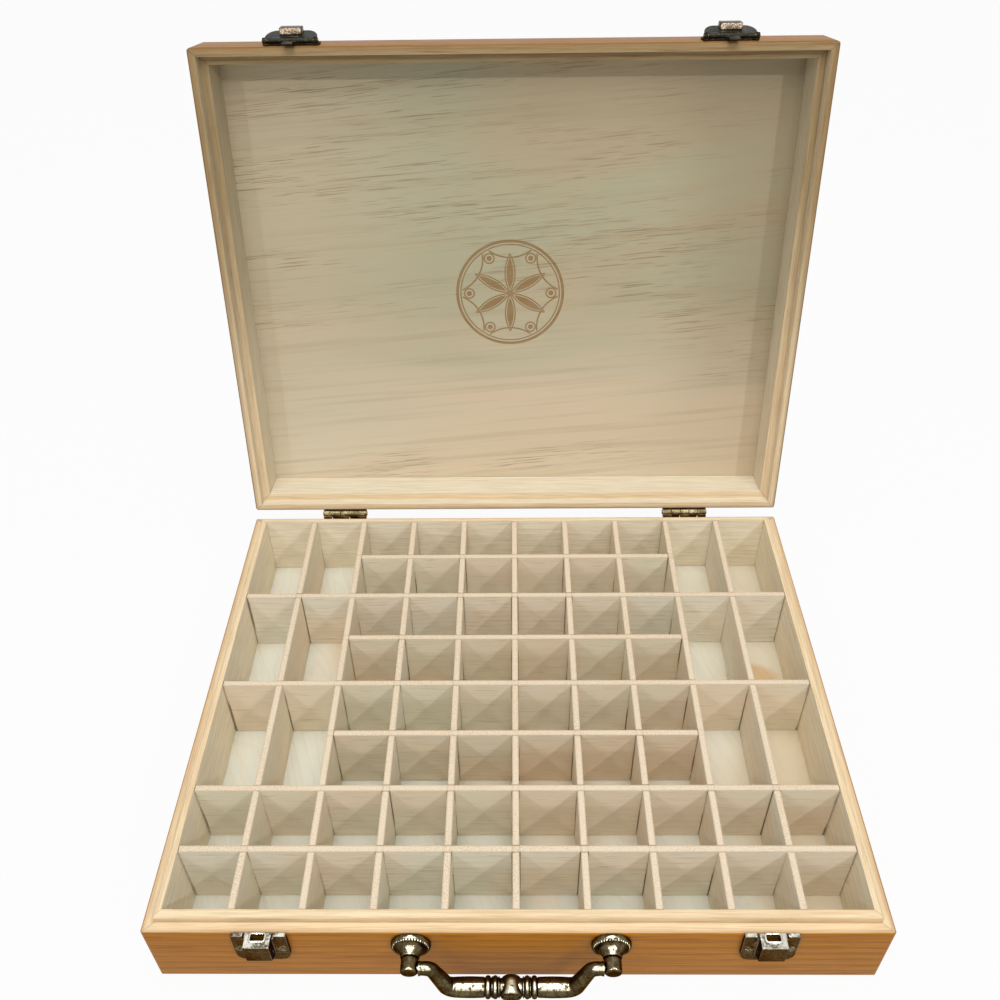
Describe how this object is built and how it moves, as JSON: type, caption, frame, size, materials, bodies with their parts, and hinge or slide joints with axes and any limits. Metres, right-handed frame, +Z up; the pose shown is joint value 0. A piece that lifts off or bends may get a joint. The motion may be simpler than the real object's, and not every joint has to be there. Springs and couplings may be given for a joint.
{
  "type": "divided wooden storage box",
  "caption": "Shallow wooden case with a hinged lid, lap-jointed dividers for small bottles, latches and a bail handle.",
  "frame": {"origin": "centre of the underside of the base", "axes": "+X to the right seen from the front, +Y towards the hinges, +Z up"},
  "size_m": [0.36, 0.4059, 0.3479],
  "materials": {
    "varnished_pine": "clear satin varnish",
    "slat_pine": "bare, sanded",
    "panel_ply": "bare, sanded",
    "old_brass": "antiqued, worn bright on the edges",
    "dark_bronze": "dark antiqued",
    "worn_nickel": "worn plating"
  },
  "bodies": {
    "base": {"base_front_board": "varnished_pine", "base_back_board": "varnished_pine", "base_left_board": "varnished_pine", "base_right_board": "varnished_pine", "base_bottom_panel": "panel_ply", "divider_long_1": "slat_pine", "divider_long_2": "slat_pine", "divider_long_3": "slat_pine", "divider_long_4": "slat_pine", "divider_long_5": "slat_pine", "divider_long_6": "slat_pine", "divider_long_7": "slat_pine", "divider_long_8": "slat_pine", "divider_long_9": "slat_pine", "divider_cross_2": "slat_pine", "divider_cross_4": "slat_pine", "divider_cross_6": "slat_pine", "divider_cross_7": "slat_pine", "divider_short_1": "slat_pine", "divider_short_3": "slat_pine", "divider_short_5": "slat_pine", "left_hinge_base_leaf": "old_brass", "left_hinge_pin": "old_brass", "left_hinge_base_screw_1": "old_brass", "left_hinge_base_screw_2": "old_brass", "left_keeper": "worn_nickel", "left_keeper_screw_1": "old_brass", "left_keeper_screw_2": "old_brass", "left_handle_post": "old_brass", "left_handle_bolt": "worn_nickel", "right_hinge_base_leaf": "old_brass", "right_hinge_pin": "old_brass", "right_hinge_base_screw_1": "old_brass", "right_hinge_base_screw_2": "old_brass", "right_keeper": "worn_nickel", "right_keeper_screw_1": "old_brass", "right_keeper_screw_2": "old_brass", "right_handle_post": "old_brass", "right_handle_bolt": "worn_nickel"},
    "lid": {"lid_front_board": "varnished_pine", "lid_back_board": "varnished_pine", "lid_left_board": "varnished_pine", "lid_right_board": "varnished_pine", "lid_panel": "panel_ply", "left_hinge_lid_leaf": "old_brass", "left_hinge_lid_screw_1": "old_brass", "left_hinge_lid_screw_2": "old_brass", "left_latch_plate": "dark_bronze", "left_latch_pin": "old_brass", "right_hinge_lid_leaf": "old_brass", "right_hinge_lid_screw_1": "old_brass", "right_hinge_lid_screw_2": "old_brass", "right_latch_plate": "dark_bronze", "right_latch_pin": "old_brass"},
    "left_lever": {"left_latch_lever": "dark_bronze"},
    "right_lever": {"right_latch_lever": "dark_bronze"},
    "handle": {"handle_bail": "old_brass"}
  },
  "joints": [
    {"name": "lid_hinge", "type": "hinge", "parent": "base", "child": "lid", "pos_m": [0, 0.1513, 0.0463], "axis": [1, 0, 0], "range_deg": [0, 101]},
    {"name": "left_lever_pin", "type": "hinge", "parent": "lid", "child": "left_lever", "pos_m": [-0.1225, 0.21178, 0.34225], "axis": [1, 0, 0], "range_deg": [-18, 0]},
    {"name": "right_lever_pin", "type": "hinge", "parent": "lid", "child": "right_lever", "pos_m": [0.1207, 0.21178, 0.34225], "axis": [1, 0, 0], "range_deg": [-18, 0]},
    {"name": "handle_swing", "type": "hinge", "parent": "base", "child": "handle", "pos_m": [-0.0026, -0.1606, 0.037], "axis": [-1, 0, 0], "range_deg": [-20, 180]}
  ]
}
